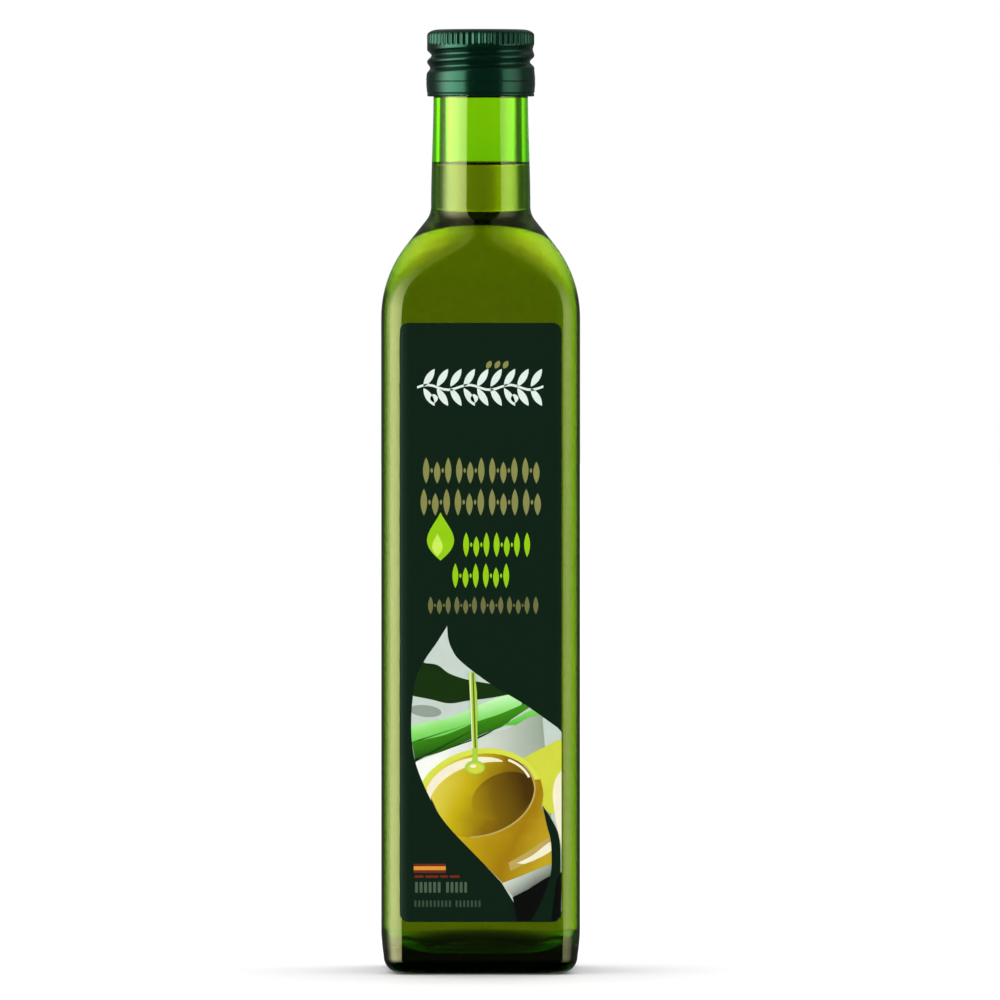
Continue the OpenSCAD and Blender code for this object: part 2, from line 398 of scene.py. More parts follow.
def rounded_outline(u0, v0, u1, v1, r, steps=8):
    points = []
    corners = ((u1 - r, v0 + r, -90), (u1 - r, v1 - r, 0), (u0 + r, v1 - r, 90), (u0 + r, v0 + r, 180))
    for cu, cv, start in corners:
        for k in range(steps + 1):
            a = math.radians(start + 90 * k / steps)
            points.append((cu + r * math.cos(a), cv + r * math.sin(a)))
    return points


def turned(cu, cv, x, y, a):
    """The point x, y of a shape that is turned by a and then moved to cu, cv."""
    return (cu + x * math.cos(a) - y * math.sin(a), cv + x * math.sin(a) + y * math.cos(a))


def leaf_outline(cu, cv, length, width, turn, steps=10):
    """A pointed leaf about its middle, its long axis turned from +u by turn degrees."""
    shares = [k / steps for k in range(steps + 1)]
    side = [(length * (s - 0.5), width / 2 * math.sin(math.pi * s) ** LEAF_FULLNESS) for s in shares]
    loop = side + [(x, -y) for x, y in side[-2:0:-1]]
    return [turned(cu, cv, x, y, math.radians(turn)) for x, y in loop]


def spline(points, steps=8):
    """A smooth open curve through the points."""
    p = [points[0]] + list(points) + [points[-1]]
    curve = []
    for k in range(1, len(p) - 2):
        for s in np.arange(steps) / steps:
            curve.append(tuple(
                0.5 * (2 * p[k][c] + (p[k + 1][c] - p[k - 1][c]) * s
                       + (2 * p[k - 1][c] - 5 * p[k][c] + 4 * p[k + 1][c] - p[k + 2][c]) * s * s
                       + (3 * p[k][c] - p[k - 1][c] - 3 * p[k + 1][c] + p[k + 2][c]) * s**3)
                for c in (0, 1)))
    return curve + [points[-1]]


def printed_piece(name, fields):
    """Thin plates on the label. Each field is (outline, low lift, high lift, material)."""
    bm = bmesh.new()
    materials = []
    for outline, low, high, material in fields:
        if material not in materials:
            materials.append(material)
        flat = bmesh.new()
        flat.faces.new([flat.verts.new((u, v, 0)) for u, v in outline])
        bmesh.ops.triangulate(flat, faces=flat.faces[:])
        for cut in BENDS:
            geometry = flat.verts[:] + flat.edges[:] + flat.faces[:]
            bmesh.ops.bisect_plane(flat, geom=geometry, plane_co=(cut, 0, 0), plane_no=(1, 0, 0), dist=1e-5)
        bmesh.ops.triangulate(flat, faces=flat.faces[:])
        bmesh.ops.recalc_face_normals(flat, faces=flat.faces[:])
        flip = sum(f.normal.z * f.calc_area() for f in flat.faces) < 0
        flat.verts.index_update()
        front = [bm.verts.new(sheet_point(v.co.x, v.co.y, high)) for v in flat.verts]
        back = [bm.verts.new(sheet_point(v.co.x, v.co.y, low)) for v in flat.verts]
        made = []
        for face in flat.faces:
            loop = [v.index for v in face.verts]
            if flip:
                loop.reverse()
            made.append(bm.faces.new([front[i] for i in loop]))
            made.append(bm.faces.new([back[i] for i in reversed(loop)]))
            for edge_loop in face.loops:
                if edge_loop.edge.is_boundary:
                    i, j = edge_loop.vert.index, edge_loop.link_loop_next.vert.index
                    if flip:
                        i, j = j, i
                    made.append(bm.faces.new((front[j], front[i], back[i], back[j])))
        for face in made:
            face.material_index = materials.index(material)
        flat.free()
    mesh = bpy.data.meshes.new(name)
    bm.to_mesh(mesh)
    bm.free()
    for material in materials:
        mesh.materials.append(material)
    piece = bpy.data.objects.new(name, mesh)
    bpy.context.scene.collection.objects.link(piece)
    return piece


# ---------------------------------------------------------------- materials


class Nodes:
    """A short way to write a material's nodes."""

    def __init__(self, name):
        self.material = bpy.data.materials.new(name)
        self.material.use_nodes = True
        self.tree = self.material.node_tree
        self.shader = self.tree.nodes["Principled BSDF"]
        self.output = self.tree.nodes["Material Output"]

    def set(self, **values):
        for key, value in values.items():
            self.shader.inputs[key.replace("_", " ")].default_value = value

    def link(self, source, socket):
        self.tree.links.new(source, self.shader.inputs[socket])

    def new(self, kind, **settings):
        node = self.tree.nodes.new(kind)
        for key, value in settings.items():
            setattr(node, key, value)
        return node

    def put(self, value, socket):
        if hasattr(value, "is_output"):
            self.tree.links.new(value, socket)
        else:
            socket.default_value = value

    def math(self, operation, *values):
        node = self.new("ShaderNodeMath", operation=operation)
        for value, socket in zip(values, node.inputs):
            self.put(value, socket)
        return node.outputs[0]

    def noise(self, scale, detail=3.0, roughness=0.5):
        node = self.new("ShaderNodeTexNoise")
        node.inputs["Scale"].default_value = scale
        node.inputs["Detail"].default_value = detail
        node.inputs["Roughness"].default_value = roughness
        self.tree.links.new(self.place(), node.inputs["Vector"])
        return node.outputs["Fac"]

    def place(self):
        if not hasattr(self, "_place"):
            self._place = self.new("ShaderNodeTexCoord").outputs["Object"]
        return self._place

    def blend(self, factor, a, b):
        node = self.new("ShaderNodeMix", data_type="RGBA")
        self.put(factor, node.inputs["Factor"])
        self.put(a, node.inputs["A"])
        self.put(b, node.inputs["B"])
        return node.outputs["Result"]

    def steps(self, value, low, high):
        """0 below low, 1 above high, smooth between."""
        node = self.new("ShaderNodeMapRange", interpolation_type="SMOOTHSTEP")
        self.put(value, node.inputs["Value"])
        self.put(low, node.inputs["From Min"])
        self.put(high, node.inputs["From Max"])
        return node.outputs["Result"]

    def bump(self, height, distance, strength=1.0):
        node = self.new("ShaderNodeBump")
        node.inputs["Strength"].default_value = strength
        node.inputs["Distance"].default_value = distance
        self.tree.links.new(height, node.inputs["Height"])
        self.tree.links.new(node.outputs["Normal"], self.shader.inputs["Normal"])


def linear(red, green, blue):
    """A colour written in display values from 0 to 255."""
    values = [c / 255 for c in (red, green, blue)]
    return tuple(c / 12.92 if c <= 0.04045 else ((c + 0.055) / 1.055) ** 2.4 for c in values) + (1.0,)


def absorbing(nodes, per_mm):
    """Plain absorption in red, green and blue, per millimetre of depth."""
    density = max(per_mm) * 1.02
    volume = nodes.new("ShaderNodeVolumeAbsorption")
    volume.inputs["Color"].default_value = tuple(1 - k / density for k in per_mm) + (1.0,)
    volume.inputs["Density"].default_value = density / MM
    nodes.tree.links.new(volume.outputs["Volume"], nodes.output.inputs["Volume"])


# Absorption per millimetre of depth, and the heights between which the painted shade of the base and the tint
# of the neck fade.
# The painted shade darkens the base's glass colour and ends lower towards the sides, by the bow times the
# square of the way from the middle.
GLASS_PER_MM = (0.25, 0.09, 1.1)
OIL_PER_MM = (0.0177, 0.0306, 0.30)
BASE_SHADE_HEIGHTS = (9.6, 12.4)
BASE_SHADE_BOW = 0.004
NECK_GOLD = (200.0, 213.0)
CLEAR = (1, 1, 1, 1)
BASE_PAINTED_SHADE = (0.1, 0.14, 0.1, 1)
NECK_TINT = (1.0, 0.62, 1.0, 1)


def glass_material():
    """Clear green glass, its colour darkened nearly to black in the thick arched base as painted shade."""
    nodes = Nodes("green_bottle_glass")
    place = nodes.new("ShaderNodeSeparateXYZ")
    nodes.put(nodes.place(), place.inputs["Vector"])
    across = nodes.math("POWER", nodes.math("ABSOLUTE", place.outputs["X"]), 2.0)
    arch = nodes.math("MULTIPLY", BASE_SHADE_BOW / MM, across)
    height = nodes.math("ADD", place.outputs["Z"], arch)
    # Painted shade: below these heights, arched lower at the sides, the glass colour is darkened towards near
    # black.
    above = nodes.steps(height, BASE_SHADE_HEIGHTS[0] * MM, BASE_SHADE_HEIGHTS[1] * MM)
    nodes.link(nodes.blend(above, BASE_PAINTED_SHADE, CLEAR), "Base Color")
    nodes.set(Roughness=0.0, IOR=1.52, Transmission_Weight=1.0)
    nodes.set(Specular_Tint=(1.0, 1.0, 0.46, 1.0))
    absorbing(nodes, GLASS_PER_MM)
    return nodes.material


def oil_material():
    """Clear oil, which looks more golden up in the neck."""
    nodes = Nodes("olive_oil")
    place = nodes.new("ShaderNodeSeparateXYZ")
    nodes.put(nodes.place(), place.inputs["Vector"])
    in_neck = nodes.steps(place.outputs["Z"], NECK_GOLD[0] * MM, NECK_GOLD[1] * MM)
    nodes.link(nodes.blend(in_neck, CLEAR, NECK_TINT), "Base Color")
    nodes.set(Roughness=0.0, IOR=1.47, Transmission_Weight=1.0)
    nodes.set(Specular_Tint=(0.2, 0.2, 0.2, 1.0))
    absorbing(nodes, OIL_PER_MM)
    return nodes.material


def cap_material():
    nodes = Nodes("green_lacquered_metal")
    speckle = nodes.noise(900.0, 2.0)
    colour = nodes.blend(speckle, linear(2, 22, 13), linear(5, 34, 22))
    nodes.link(colour, "Base Color")
    nodes.set(Roughness=0.2, IOR=1.5, Metallic=0.0, Specular_IOR_Level=0.42)
    nodes.set(Specular_Tint=(0.3, 1.0, 0.6, 1.0))
    nodes.bump(nodes.noise(2500.0, 2.0), 0.00001, 0.35)
    return nodes.material


def ink_material(name, colour, shade=0.12, roughness=0.42):
    """Printed ink with a little unevenness of density and the fine grain of the sheet."""
    nodes = Nodes(name)
    rgb = linear(*colour)
    dark = tuple(c * (1 - shade) for c in rgb[:3]) + (1.0,)
    nodes.link(nodes.blend(nodes.noise(320.0, 4.0), dark, rgb), "Base Color")
    nodes.set(Roughness=roughness, IOR=1.45, Specular_IOR_Level=0.1)
    nodes.bump(nodes.noise(4200.0, 2.0), 0.000006, 0.3)
    return nodes.material


# ---------------------------------------------------------------- print on the front label


def frieze(u0, u1, v0, v1, pitch, ink, low, high):
    """A row of upright leaves with a small lozenge between each two, in groups of three."""
    count = max(2, round((u1 - u0) / pitch))
    step = (u1 - u0) / count
    tall = v1 - v0
    fields = []
    for k in range(count):
        u, short = u0 + step * (k + 0.5), 0.16 * tall * (k % 3 == 1)
        leaf = leaf_outline(u, (v0 + v1 - short) / 2, tall - short, step * 0.58, 90)
        fields.append((leaf, low, high, ink))
        if k % 3:
            bud = leaf_outline(u - step / 2, v0 + tall * 0.5, tall * 0.2, step * 0.22, 90, 4)
            fields.append((bud, low, high, ink))
    return fields


def dashes(u0, v0, v1, lengths, gap, ink, low, high):
    """A row of round-ended bars."""
    fields = []
    for length in lengths:
        r = min(length, v1 - v0) * 0.3
        fields.append((rounded_outline(u0, v0, u0 + length, v1, r, 3), low, high, ink))
        u0 += length + gap
    return fields


def sprig(u0, u1, v0, v1, ink, low, high):
    """A wavy olive twig with leaves in pairs and a few olives."""
    middle, swing = (v0 + v1) / 2, (v1 - v0) * 0.07
    line = [(u0 + (u1 - u0) * k / 24, middle + swing * math.sin(k * 0.8)) for k in range(25)]
    fields = [([(u, v + 0.35) for u, v in line] + [(u, v - 0.35) for u, v in line[::-1]], low, high, ink)]
    count = 9
    reach_v = (v1 - v0) * 0.5
    for k in range(count):
        u = u0 + (u1 - u0) * (k + 0.6) / (count + 0.4)
        for way in (1, -1):
            tip = leaf_outline(u + 1.1, middle + way * reach_v * 0.54, reach_v * 1.18, 2.0, way * 58)
            fields.append((tip, low, high, ink))
        if k % 3 == 1:
            olive = leaf_outline(u - 1.3, middle - reach_v * 0.62, 2.6, 2.2, -80)
            fields.append((olive, low, high, ink))
    return fields


def ellipse(cu, cv, a, b, turn, steps=40, start=0.0, end=360.0):
    """An ellipse, or its arc from start to end, with its long axis turned from +u by turn degrees."""
    tilt = math.radians(turn)
    points = []
    whole = end - start >= 360
    for k in range(steps if whole else steps + 1):
        t = math.radians(start + (end - start) * k / steps)
        x, y = a * math.cos(t), b * math.sin(t)
        points.append(turned(cu, cv, x, y, tilt))
    return points


def ribbon(line, widths):
    """A band of changing width along a line of points."""
    left, right = [], []
    for k, (u, v) in enumerate(line):
        before, after = line[max(0, k - 1)], line[min(len(line) - 1, k + 1)]
        du, dv = after[0] - before[0], after[1] - before[1]
        length = math.hypot(du, dv) or 1
        w = widths[k] / 2 if hasattr(widths, "__len__") else widths / 2
        left.append((u - dv / length * w, v + du / length * w))
        right.append((u + dv / length * w, v - du / length * w))
    return left + right[::-1]


WINDOW_LEFT = (
    (-9.6, 85), (-12.6, 80.2), (-16.2, 74.9), (-18.8, 68.6), (-19.9, 58.4), (-19.3, 48.6),
    (-16.5, 39.8), (-10.6, 29.1), (0.3, 17.4), (6, 11.3), (9.7, 6.1), (10.6, 0.3),
)
WINDOW_TOP = ((-9.6, 85), (-9.3, 81.5), (-8.2, 78.3), (-5.6, 74.8), (2.8, 68.4), (12.8, 62.4), (22.8, 55.3))
SKY_LOWER = ((-22, 74.6), (-16.6, 74.4), (-12.4, 73.8), (-9, 71.4), (-3.7, 69.6), (2.8, 68.4), (6, 67.4))
HEDGE_LOWER = ((-22, 65.4), (-14.6, 64), (-9, 62.8), (-3.4, 63.6), (2.5, 64.3), (8.4, 65.4))
LEAF_UPPER = ((-22, 55.9), (-16, 57.4), (-9.5, 58.6), (-3, 61.2), (2.6, 63.6), (8.4, 65.2), (13, 62.9))
LEAF_LOWER = ((13, 62.9), (5.7, 59.8), (-0.9, 57.6), (-6, 55.4), (-11.5, 53.4), (-22, 51.4))
SHADE_LOWER = ((14, 61.6), (9.2, 58.4), (6.4, 56.2), (1.2, 54.2), (-4, 52.0), (-11.5, 48.8), (-22, 46.0))
BOWL_UPPER = ((-22, 44.6), (-13.5, 48.0), (-5, 51.2), (2.3, 53.6), (9, 56.0), (13.6, 58.6), (17.2, 59.6))
OIL_LOWER = ((6.3, 11.2), (9.5, 12.4), (14, 14.2), (20.4, 16.8))
CRESCENT_OUTER = ((17.8, 33.5), (20.9, 28.5), (22.5, 24.1), (22.9, 17.6), (22.6, 8), (21.2, 0.3))
CRESCENT_INNER = (
    (14.4, 0.3), (17.5, 6.1), (19.7, 12.3), (20.4, 16.7), (20.1, 23.5), (19, 27.9), (17.8, 33.5),
)
BOWL = (-0.7, 36.4)
BOWL_TURN = 14


def window_outline():
    """The picture's outline: a leaf tip at the top, the label's right edge, a long sweep on the left."""
    right = [(LABEL_U - 0.05, 54.6), (LABEL_U - 0.05, 3.0), (LABEL_U - 1.0, 0.9), (LABEL_U - 3.0, 0.3)]
    return spline(WINDOW_TOP)[:-1] + right + spline(WINDOW_LEFT[::-1])[:-1]


def clip_to(outline, fence):
    """The part of an outline inside a fence that every line across meets twice, by heights."""
    def span(v):
        us = []
        for (u0, v0), (u1, v1) in zip(fence, fence[1:] + fence[:1]):
            if (v0 - v) * (v1 - v) <= 0 and v0 != v1:
                us.append(u0 + (u1 - u0) * (v - v0) / (v1 - v0))
        return (min(us), max(us)) if us else None

    points = []
    for u, v in outline:
        limits = span(v)
        if limits is None:
            v = min(max(v, min(f[1] for f in fence) + 0.01), max(f[1] for f in fence) - 0.01)
            limits = span(v)
        points.append((min(max(u, limits[0]), limits[1]), v))
    kept = [points[0]]
    for point in points[1:]:
        if math.dist(point, kept[-1]) > 0.02:
            kept.append(point)
    if math.dist(kept[0], kept[-1]) < 0.02:
        kept.pop()
    return kept


def picture(inks, base):
    """Oil poured over a leaf into a spoon, in plain fields of colour, each a layer above the last."""
    window = window_outline()
    fields = [(window, PRINT_FOOT, base, inks["mist"])]
    level = [base]

    def add(outline, ink):
        level[0] += INK
        fields.append((clip_to(outline, window), PRINT_FOOT, level[0], inks[ink]))

    def left_edge(low, high):
        return [(-24, low + (high - low) * k / 12) for k in range(13)]

    hedge = spline(SKY_LOWER) + spline(HEDGE_LOWER)[::-1] + left_edge(HEDGE_LOWER[0][1], SKY_LOWER[0][1])
    add(hedge, "hedge")
    add(ellipse(-15.8, 60.6, 4.6, 1.7, -6), "smoke")
    add(spline(LEAF_UPPER) + spline(LEAF_LOWER)[1:], "mint")
    add(spline(LEAF_LOWER[::-1]) + spline(SHADE_LOWER), "shade")
    add(spline(((6.4, 56.4), (10.2, 58.6), (15.6, 61.2), (18.4, 59.2), (16.5, 58.2), (11.8, 56.6))), "mint")
    add(spline(((-10, 49.6), (-4, 51.9), (2.4, 54.6), (4.6, 55.8), (2.0, 54.0), (-4, 51.2))), "black")
    add(spline(BOWL_UPPER) + [(24, 59), (24, 2), (9.8, 4.6), (6, 11.3), (-10.6, 29.1), (-22, 40)], "spoon")
    pool = ((12, 46.9), (18.3, 50.2), (24, 51.2), (24, 34), (21.2, 31.0), (17.8, 33.2), (14.9, 40.0))
    add(spline(pool), "pool")
    add(spline(((24, 44.0), (21.6, 41.4), (20.7, 36.8), (21.3, 30.6), (22.6, 23.8), (24, 20))), "cream")
    add(ellipse(*BOWL, 18.0, 13.2, BOWL_TURN), "oil_rim")
    body = spline(((17.5, 33.1), (19.2, 28.4), (20.2, 22.1), (20.4, 16.8)))[:-1] + spline(OIL_LOWER[::-1])
    shoulder = spline(((17.2, 41.0), (18.0, 37.0), (17.5, 33.1)))[:-1]
    add(shoulder + body + [(-12, 25), (-22, 38), (-16.6, 38.6)], "oil_gold")
    add(spline(((8.6, 14.6), (14.5, 18.0), (20.1, 22.9), (20.2, 24.6), (13.8, 20.4), (8, 17.0))), "oil_edge")
    add(ellipse(*BOWL, 16.5, 11.7, BOWL_TURN), "oil_ochre")
    add(ribbon(ellipse(*BOWL, 16.5, 11.7, BOWL_TURN, 30, -108, 28), 0.5), "oil_edge")
    add(ellipse(6.4, 36.2, 9.4, 6.4, 24), "oil_brown")
    taper = [0.3 + 2.3 * math.sin(math.pi * min(1, k / 22)) ** 0.7 for k in range(23)]
    add(ribbon(ellipse(*BOWL, 14.9, 9.9, BOWL_TURN, 22, 186, 52), taper), "cream")
    add(ribbon(ellipse(*BOWL, 15.6, 10.8, BOWL_TURN, 12, 46, 8), 0.7), "cream")
    glint = ((10.3, 16.9), (14.6, 19.0), (20.3, 23.2), (20.4, 20.6), (16.0, 18.0), (12.4, 16.6))
    add(spline(glint), "cream")
    rim = spline(OIL_LOWER)[:-1] + [(20.4, 16.8), (20.0, 12.2), (13.6, 9.6), (9.7, 6.9), (6, 10.9)]
    add(rim, "rim_white")
    below = ((9.2, 7.2), (13.2, 9.2), (20.2, 13.2), (19.2, 9), (16, 3), (14.6, 0.3), (10.6, 0.3))
    add(spline(below), "black")
    add(spline(CRESCENT_OUTER) + spline(CRESCENT_INNER), "ground")
    corner = [(24, v) for v in (14.4, 2.6, 2.0, 1.5, 1.1, 0.8, 0.5, 0.3, 0.1, 0.0)]
    add([(21.0, 0.0), (21.7, 12.0), (22.6, 13.6)] + corner, "black")
    stream = [(-2.3, 71.6), (-2.1, 66), (-1.9, 60), (-1.75, 55), (-1.6, 50), (-1.6, 45.4)]
    add(ribbon(stream, (2.3, 2.1, 1.9, 1.7, 1.5, 1.7)), "stream")
    add(ribbon([(u + 0.1, v) for u, v in stream[:-1]], 0.45), "leaf_dark")
    add(ribbon([(u - 0.75, v) for u, v in stream[:-1]], 0.28), "cream")
    add(ellipse(-1.6, 44.4, 2.9, 2.0, 0), "stream")
    add(ellipse(-1.5, 44.2, 2.2, 1.4, 0), "pool")
    add(ellipse(-2.1, 44.8, 0.9, 0.5, 0), "cream")
    return fields


def drop_outline(cu, v0, v1, w):
    """A drop that hangs from its point."""
    tall = v1 - v0
    side = [(w / 2 * math.sin(math.pi * s) * (1.25 - 0.75 * s), s) for s in np.linspace(0, 1, 15)]
    right = [(cu + x, v0 + tall * s) for x, s in side]
    left = [(cu - x, v0 + tall * s) for x, s in side[-2:0:-1]]
    return right + left


def front_print(inks):
    """Plain rows, bars and a drop in the places where the photo's label has words and marks."""
    low, high = PRINT_FOOT, LABEL_FACE + PRINT_RISE
    fields = sprig(-18.2, 18.0, 148.4, 158.6, inks["white"], low, high)
    for u in (2.4, 4.8, 7.2):
        fields.append((leaf_outline(u, 160.0, 2.6, 1.5, 60), low, high, inks["gold"]))
    fields += frieze(-17.2, 17.6, 125.9, 133.4, 3.2, inks["gold"], low, high)
    fields += frieze(-17.9, 18.0, 116.7, 124.4, 3.2, inks["gold"], low, high)
    fields.append((drop_outline(-11.5, 103.8, 117.6, 8.6), low, high + INK, inks["lime"]))
    fields.append((drop_outline(-12.4, 105.0, 111.6, 3.4), low, high + 2 * INK, inks["pale_lime"]))
    fields += frieze(-5.6, 14.8, 104.8, 111.9, 3.0, inks["lime"], low, high)
    fields += frieze(-8.7, 8.8, 95.9, 103.0, 3.0, inks["lime"], low, high)
    fields += frieze(-15.6, 17.1, 88.4, 93.5, 2.6, inks["dull_gold"], low, high)
    for v0, v1, ink in ((16.0, 16.7, "dull_red"), (14.9, 16.0, "amber"), (14.1, 14.9, "dull_red")):
        fields.append(([(-19.2, v0), (-10.0, v0), (-10.0, v1), (-19.2, v1)], low, high, inks[ink]))
    fields += dashes(-19.0, 12.7, 13.4, (2.6, 3.8, 2.2, 2.9), 0.5, inks["dull_red"], low, high)
    fields += dashes(-18.8, 8.4, 11.5, (0.8,) * 6, 0.5, inks["grey_green"], low, high)
    fields += dashes(-9.9, 8.4, 11.5, (0.8,) * 5, 0.5, inks["grey_green"], low, high)
    fields += dashes(-19.0, 4.3, 6.2, (0.6,) * 10, 0.5, inks["grey_green_dark"], low, high)
    fields += dashes(-7.2, 4.3, 6.2, (0.6,) * 7, 0.5, inks["grey_green_dark"], low, high)
    return fields


def graded_ink(name, stops, start, end, roughness=0.4):
    """Ink that changes colour across the label between two of its points."""
    nodes = Nodes(name)
    parts = nodes.new("ShaderNodeSeparateXYZ")
    nodes.tree.links.new(nodes.place(), parts.inputs[0])
    du, dv = (end[0] - start[0]) * MM, (end[1] - start[1]) * MM
    square = du * du + dv * dv
    across = nodes.math("MULTIPLY", parts.outputs["X"], du / square)
    up = nodes.math("MULTIPLY", parts.outputs["Z"], dv / square)
    offset = -(start[0] * MM * du + (LABEL_Z + start[1]) * MM * dv) / square
    share = nodes.math("ADD", nodes.math("ADD", across, up), offset)
    wobble = nodes.math("MULTIPLY", nodes.math("SUBTRACT", nodes.noise(140.0, 3.0), 0.5), 0.18)
    ramp = nodes.new("ShaderNodeValToRGB")
    nodes.put(nodes.math("ADD", share, wobble), ramp.inputs[0])
    elements = ramp.color_ramp.elements
    while len(elements) > 1:
        elements.remove(elements[-1])
    for k, (place, colour) in enumerate(stops):
        element = elements[0] if k == 0 else elements.new(place)
        element.position = place
        element.color = linear(*colour)
    nodes.link(ramp.outputs["Color"], "Base Color")
    nodes.set(Roughness=roughness, IOR=1.45, Specular_IOR_Level=0.1)
    return nodes.material


def paper_material():
    """The pale paper of the sheet, which its glued side shows through the glass."""
    nodes = Nodes("label_paper")
    fibres = nodes.noise(1500.0, 5.0, 0.65)
    nodes.link(nodes.blend(fibres, (0.62, 0.64, 0.58, 1), (0.76, 0.78, 0.72, 1)), "Base Color")
    nodes.set(Roughness=0.85)
    return nodes.material


INK_COLOURS = {
    "ground": (11, 35, 20),
    "white": (228, 242, 234),
    "amber": (232, 158, 50),
    "leaf_dark": (96, 118, 30),
    "gold": (138, 140, 78),
    "dull_gold": (112, 114, 66),
    "lime": (150, 208, 12),
    "pale_lime": (205, 240, 90),
    "mist": (203, 217, 207),
    "hedge": (22, 52, 8),
    "smoke": (150, 165, 150),
    "oil_edge": (196, 172, 92),
    "grey_green_dark": (58, 84, 62),
    "black": (8, 12, 9),
    "cream": (252, 246, 214),
    "pool": (216, 222, 66),
    "stream": (176, 214, 70),
    "oil_rim": (222, 232, 74),
    "grey_green": (78, 102, 80),
    "dull_red": (120, 40, 30),
}


def make_inks():
    inks = {name: ink_material("ink_" + name, colour) for name, colour in INK_COLOURS.items()}
    silver = ((0, (246, 250, 240)), (1, (140, 156, 136)))
    inks["spoon"] = graded_ink("ink_spoon", silver, (-12, 40), (22, 44))
    mint = ((0, (196, 246, 180)), (0.5, (134, 222, 104)), (1, (84, 186, 48)))
    inks["mint"] = graded_ink("ink_mint", mint, (-2, 62.5), (0, 54))
    inks["shade"] = graded_ink("ink_shade", ((0, (60, 142, 16)), (1, (16, 62, 4))), (-2, 57.5), (0, 50.5))
    gold = ((0, (226, 208, 66)), (0.35, (196, 164, 10)), (0.75, (164, 124, 0)), (1, (196, 166, 30)))
    inks["oil_gold"] = graded_ink("ink_oil_gold", gold, (-13, 34), (18, 20))
    ochre = ((0, (228, 212, 80)), (0.3, (200, 178, 10)), (0.62, (140, 108, 0)), (1, (84, 60, 0)))
    inks["oil_ochre"] = graded_ink("ink_oil_ochre", ochre, (-13, 41), (14, 32))
    brown = ((0, (168, 140, 4)), (0.4, (124, 96, 0)), (1, (72, 48, 0)))
    inks["oil_brown"] = graded_ink("ink_oil_brown", brown, (-2.5, 33), (13, 38))
    rim = ((0, (238, 244, 234)), (0.5, (180, 190, 176)), (1, (14, 18, 14)))
    inks["rim_white"] = graded_ink("ink_rim_white", rim, (9, 16), (15, 8))
    return inks


# ---------------------------------------------------------------- build

glass = make_glass()
glass.data.materials.append(glass_material())
oil = make_oil()
oil.data.materials.append(oil_material())
cap = make_cap()
cap.data.materials.append(cap_material())

inks = make_inks()
paper = paper_material()
sheet_outline = rounded_outline(-LABEL_U, 0, LABEL_U, LABEL_H, LABEL_CORNER_R)
sheet = [
    (sheet_outline, LABEL_FOOT, LABEL_MIDDLE, paper),
    (sheet_outline, LABEL_MIDDLE, LABEL_FACE, inks["ground"]),
]
print_fields = front_print(inks) + picture(inks, LABEL_FACE + PICTURE_RISE)
front_sheet = printed_piece("front_sheet", sheet + print_fields)

for piece, node, slot in (
    (glass, "glass", "glass"),
    (oil, "oil", "oil"),
    (cap, "cap", "cap"),
    (front_sheet, "front_label", "label"),
):
    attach(piece, "root")
    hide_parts(node)

# ---------------------------------------------------------------- stage, light and camera


def make_floor():
    bpy.ops.mesh.primitive_circle_add(vertices=96, radius=8.0, fill_type="NGON", location=(0, 0, -0.0001))
    floor = bpy.context.object
    floor.name = "floor"
    nodes = Nodes("pale_floor")
    nodes.link(nodes.blend(nodes.noise(3.0), (0.86, 0.86, 0.86, 1), (0.88, 0.88, 0.88, 1)), "Base Color")
    nodes.set(Roughness=0.9)
    floor.data.materials.append(nodes.material)
    floor.visible_glossy = False
    floor.visible_transmission = False


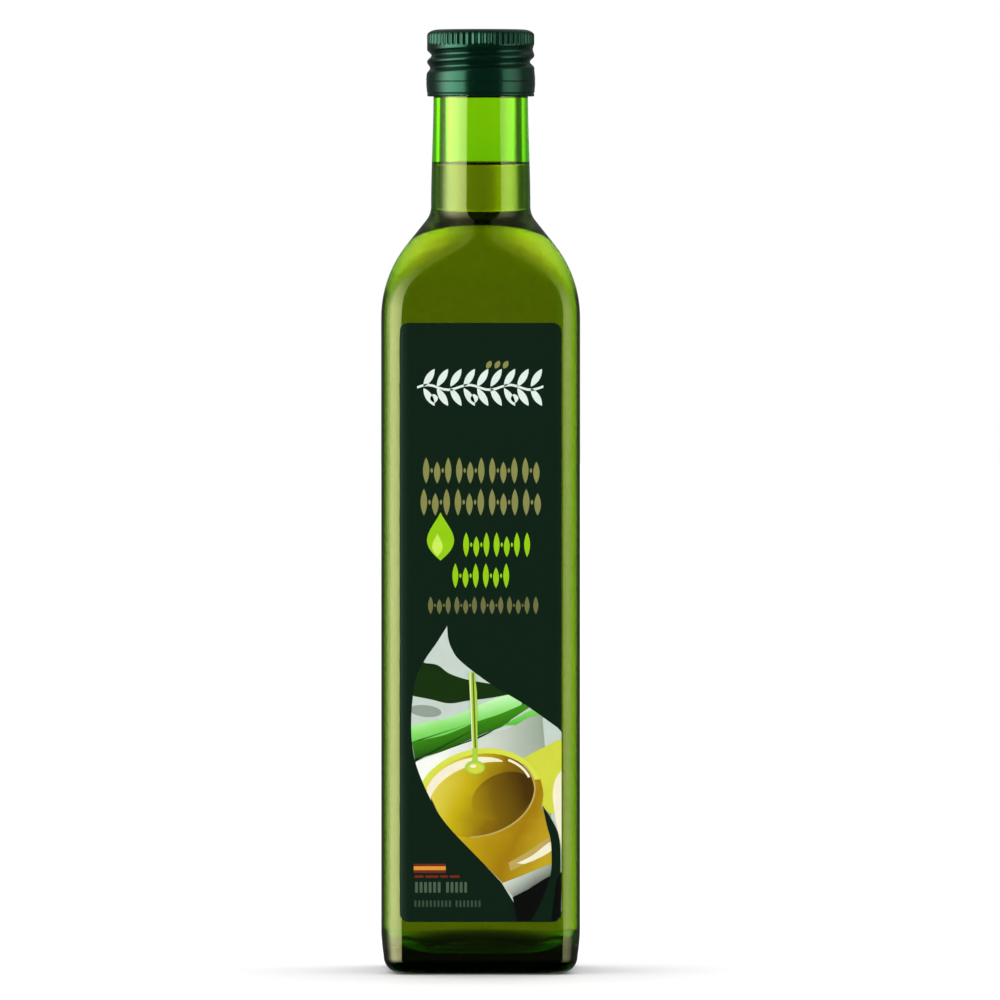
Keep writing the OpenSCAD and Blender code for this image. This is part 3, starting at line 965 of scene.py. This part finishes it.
def make_light():
    """A world whose strength depends on turn, rise and the kind of ray: soft boxes for what is reflected,
    bright panels for what is seen through the bottle, and plain white for the camera."""
    world = bpy.data.worlds.new("studio")
    bpy.context.scene.world = world
    world.use_nodes = True
    tree = world.node_tree
    nodes, links = tree.nodes, tree.links
    place = nodes.new("ShaderNodeTexCoord")
    parts = nodes.new("ShaderNodeSeparateXYZ")
    links.new(place.outputs["Generated"], parts.inputs[0])

    def put(value, socket):
        if hasattr(value, "is_output"):
            links.new(value, socket)
        else:
            socket.default_value = value

    def calc(operation, *values):
        node = nodes.new("ShaderNodeMath")
        node.operation = operation
        for value, socket in zip(values, node.inputs):
            put(value, socket)
        return node.outputs[0]

    def blend(factor, a, b):
        node = nodes.new("ShaderNodeMix")
        put(factor, node.inputs["Factor"])
        put(a, node.inputs["A"])
        put(b, node.inputs["B"])
        return node.outputs["Result"]

    def steps(value, stops):
        """Straight lines between stops of (degrees, strength)."""
        node = nodes.new("ShaderNodeFloatCurve")
        curve = node.mapping.curves[0]
        node.mapping.use_clip = False
        while len(curve.points) > 2:
            curve.points.remove(curve.points[-1])
        for k, (degrees, strength) in enumerate(stops):
            point = curve.points[k] if k < 2 else curve.points.new(0, 0)
            point.location = (degrees / 360 + 0.5, strength / SOFTBOX)
        for point in curve.points:
            point.handle_type = "VECTOR"
        node.mapping.update()
        links.new(value, node.inputs["Value"])
        return calc("MULTIPLY", node.outputs["Value"], SOFTBOX)

    azimuth = calc("ARCTAN2", parts.outputs["X"], calc("MULTIPLY", parts.outputs["Y"], -1))
    turn = calc("ADD", calc("DIVIDE", azimuth, 2 * math.pi), 0.5)
    rise = calc("ADD", calc("DIVIDE", calc("ARCSINE", parts.outputs["Z"]), 2 * math.pi), 0.5)
    reflected = calc("MULTIPLY", steps(turn, REFLECTED), steps(rise, REFLECTED_RISE))
    overhead = calc("MULTIPLY", steps(turn, OVERHEAD), steps(rise, OVERHEAD_RISE))
    reflected = calc("ADD", reflected, overhead)
    seen_through = blend(steps(rise, TABLE_RISE), steps(turn, SEEN_THROUGH), steps(turn, SEEN_TABLE))
    lighting = steps(turn, LIGHTING)
    rays = nodes.new("ShaderNodeLightPath")
    strength = blend(rays.outputs["Is Glossy Ray"], lighting, reflected)
    strength = blend(rays.outputs["Is Transmission Ray"], strength, seen_through)
    strength = blend(rays.outputs["Is Camera Ray"], strength, 1.0)
    links.new(strength, nodes["Background"].inputs["Strength"])
    nodes["Background"].inputs["Color"].default_value = (1, 1, 1, 1)


# Strengths at degrees of turn from the camera's side, left negative, and of rise above the horizon
SOFTBOX = 10.0
REFLECTED = (
    (-180, 0.15), (-150, 0.12), (-136, 0.1), (-116, 0.2), (-104, 1.0), (-92, 3.8), (-78, 8.8), (-62, 9.2),
    (-50, 7.8), (-34, 6.0), (-32.8, 0.06), (47.6, 0.06), (49.4, 3.0), (66, 3.2), (83, 1.8), (100, 0.2),
    (136, 0.1), (150, 0.12), (180, 0.15),
)
REFLECTED_RISE = ((-180, 0), (-42, 0), (-12, 1), (10, 1), (30, 0.6), (52, 0.18), (68, 0.03), (180, 0.03))
OVERHEAD = ((-180, 0.15), (-34, 0.15), (-32, 0.02), (48, 0.02), (50, 0.15), (180, 0.15))
OVERHEAD_RISE = ((-180, 0), (12, 0), (32, 1), (180, 1))
SEEN_THROUGH = (
    (-180, 1.0), (-172, 1.15), (-165, 2.4), (-157, 3.6), (-150, 3.1), (-145, 0.9), (-139, 0.25),
    (-104, 0.25), (-90, 0.7), (-40, 0.7), (-32, 0.4), (48, 0.4), (56, 0.7), (90, 0.7), (104, 0.25),
    (139, 0.25), (145, 0.7), (150, 2.0), (157, 2.3), (165, 1.9), (172, 1.1), (180, 1.0),
)
SEEN_TABLE = (
    (-180, 1.3), (-172, 2.4), (-156, 6.0), (-110, 7.0), (-60, 3.0), (0, 0.1),
    (60, 3.0), (110, 7.0), (156, 6.0), (172, 2.4), (180, 1.3),
)
TABLE_RISE = ((-180, 1), (-40, 1), (-20, 0.35), (-12, 0.0), (180, 0))
LIGHTING = (
    (-180, 1.8), (-110, 1.6), (-90, 1.3), (-34, 1.3), (-32, 0.8),
    (48, 0.8), (50, 1.3), (90, 1.3), (110, 1.6), (180, 1.8),
)

CAMERA_DISTANCE = 4.0
CAMERA_TILT = math.radians(1.2)
VIEW_HEIGHT = 0.2890
VIEW_OFFSET = (0.00557, -0.0001)


def make_camera():
    data = bpy.data.cameras.new("camera")
    data.sensor_width = 36
    data.lens = data.sensor_width * CAMERA_DISTANCE / VIEW_HEIGHT
    data.clip_end = 50
    camera = bpy.data.objects.new("camera", data)
    bpy.context.scene.collection.objects.link(camera)
    top = CAP_Z * MM + CAP_H * MM
    camera.location = (
        VIEW_OFFSET[0],
        -CAMERA_DISTANCE * math.cos(CAMERA_TILT),
        top / 2 + VIEW_OFFSET[1] + CAMERA_DISTANCE * math.sin(CAMERA_TILT),
    )
    camera.rotation_euler = (math.pi / 2 - CAMERA_TILT, 0, 0)
    bpy.context.scene.camera = camera


make_floor()
make_light()
make_camera()

scene = bpy.context.scene
scene.view_settings.view_transform = "Standard"
scene.cycles.use_denoising = True
scene.cycles.max_bounces = 32
scene.cycles.transmission_bounces = 32
scene.cycles.glossy_bounces = 12
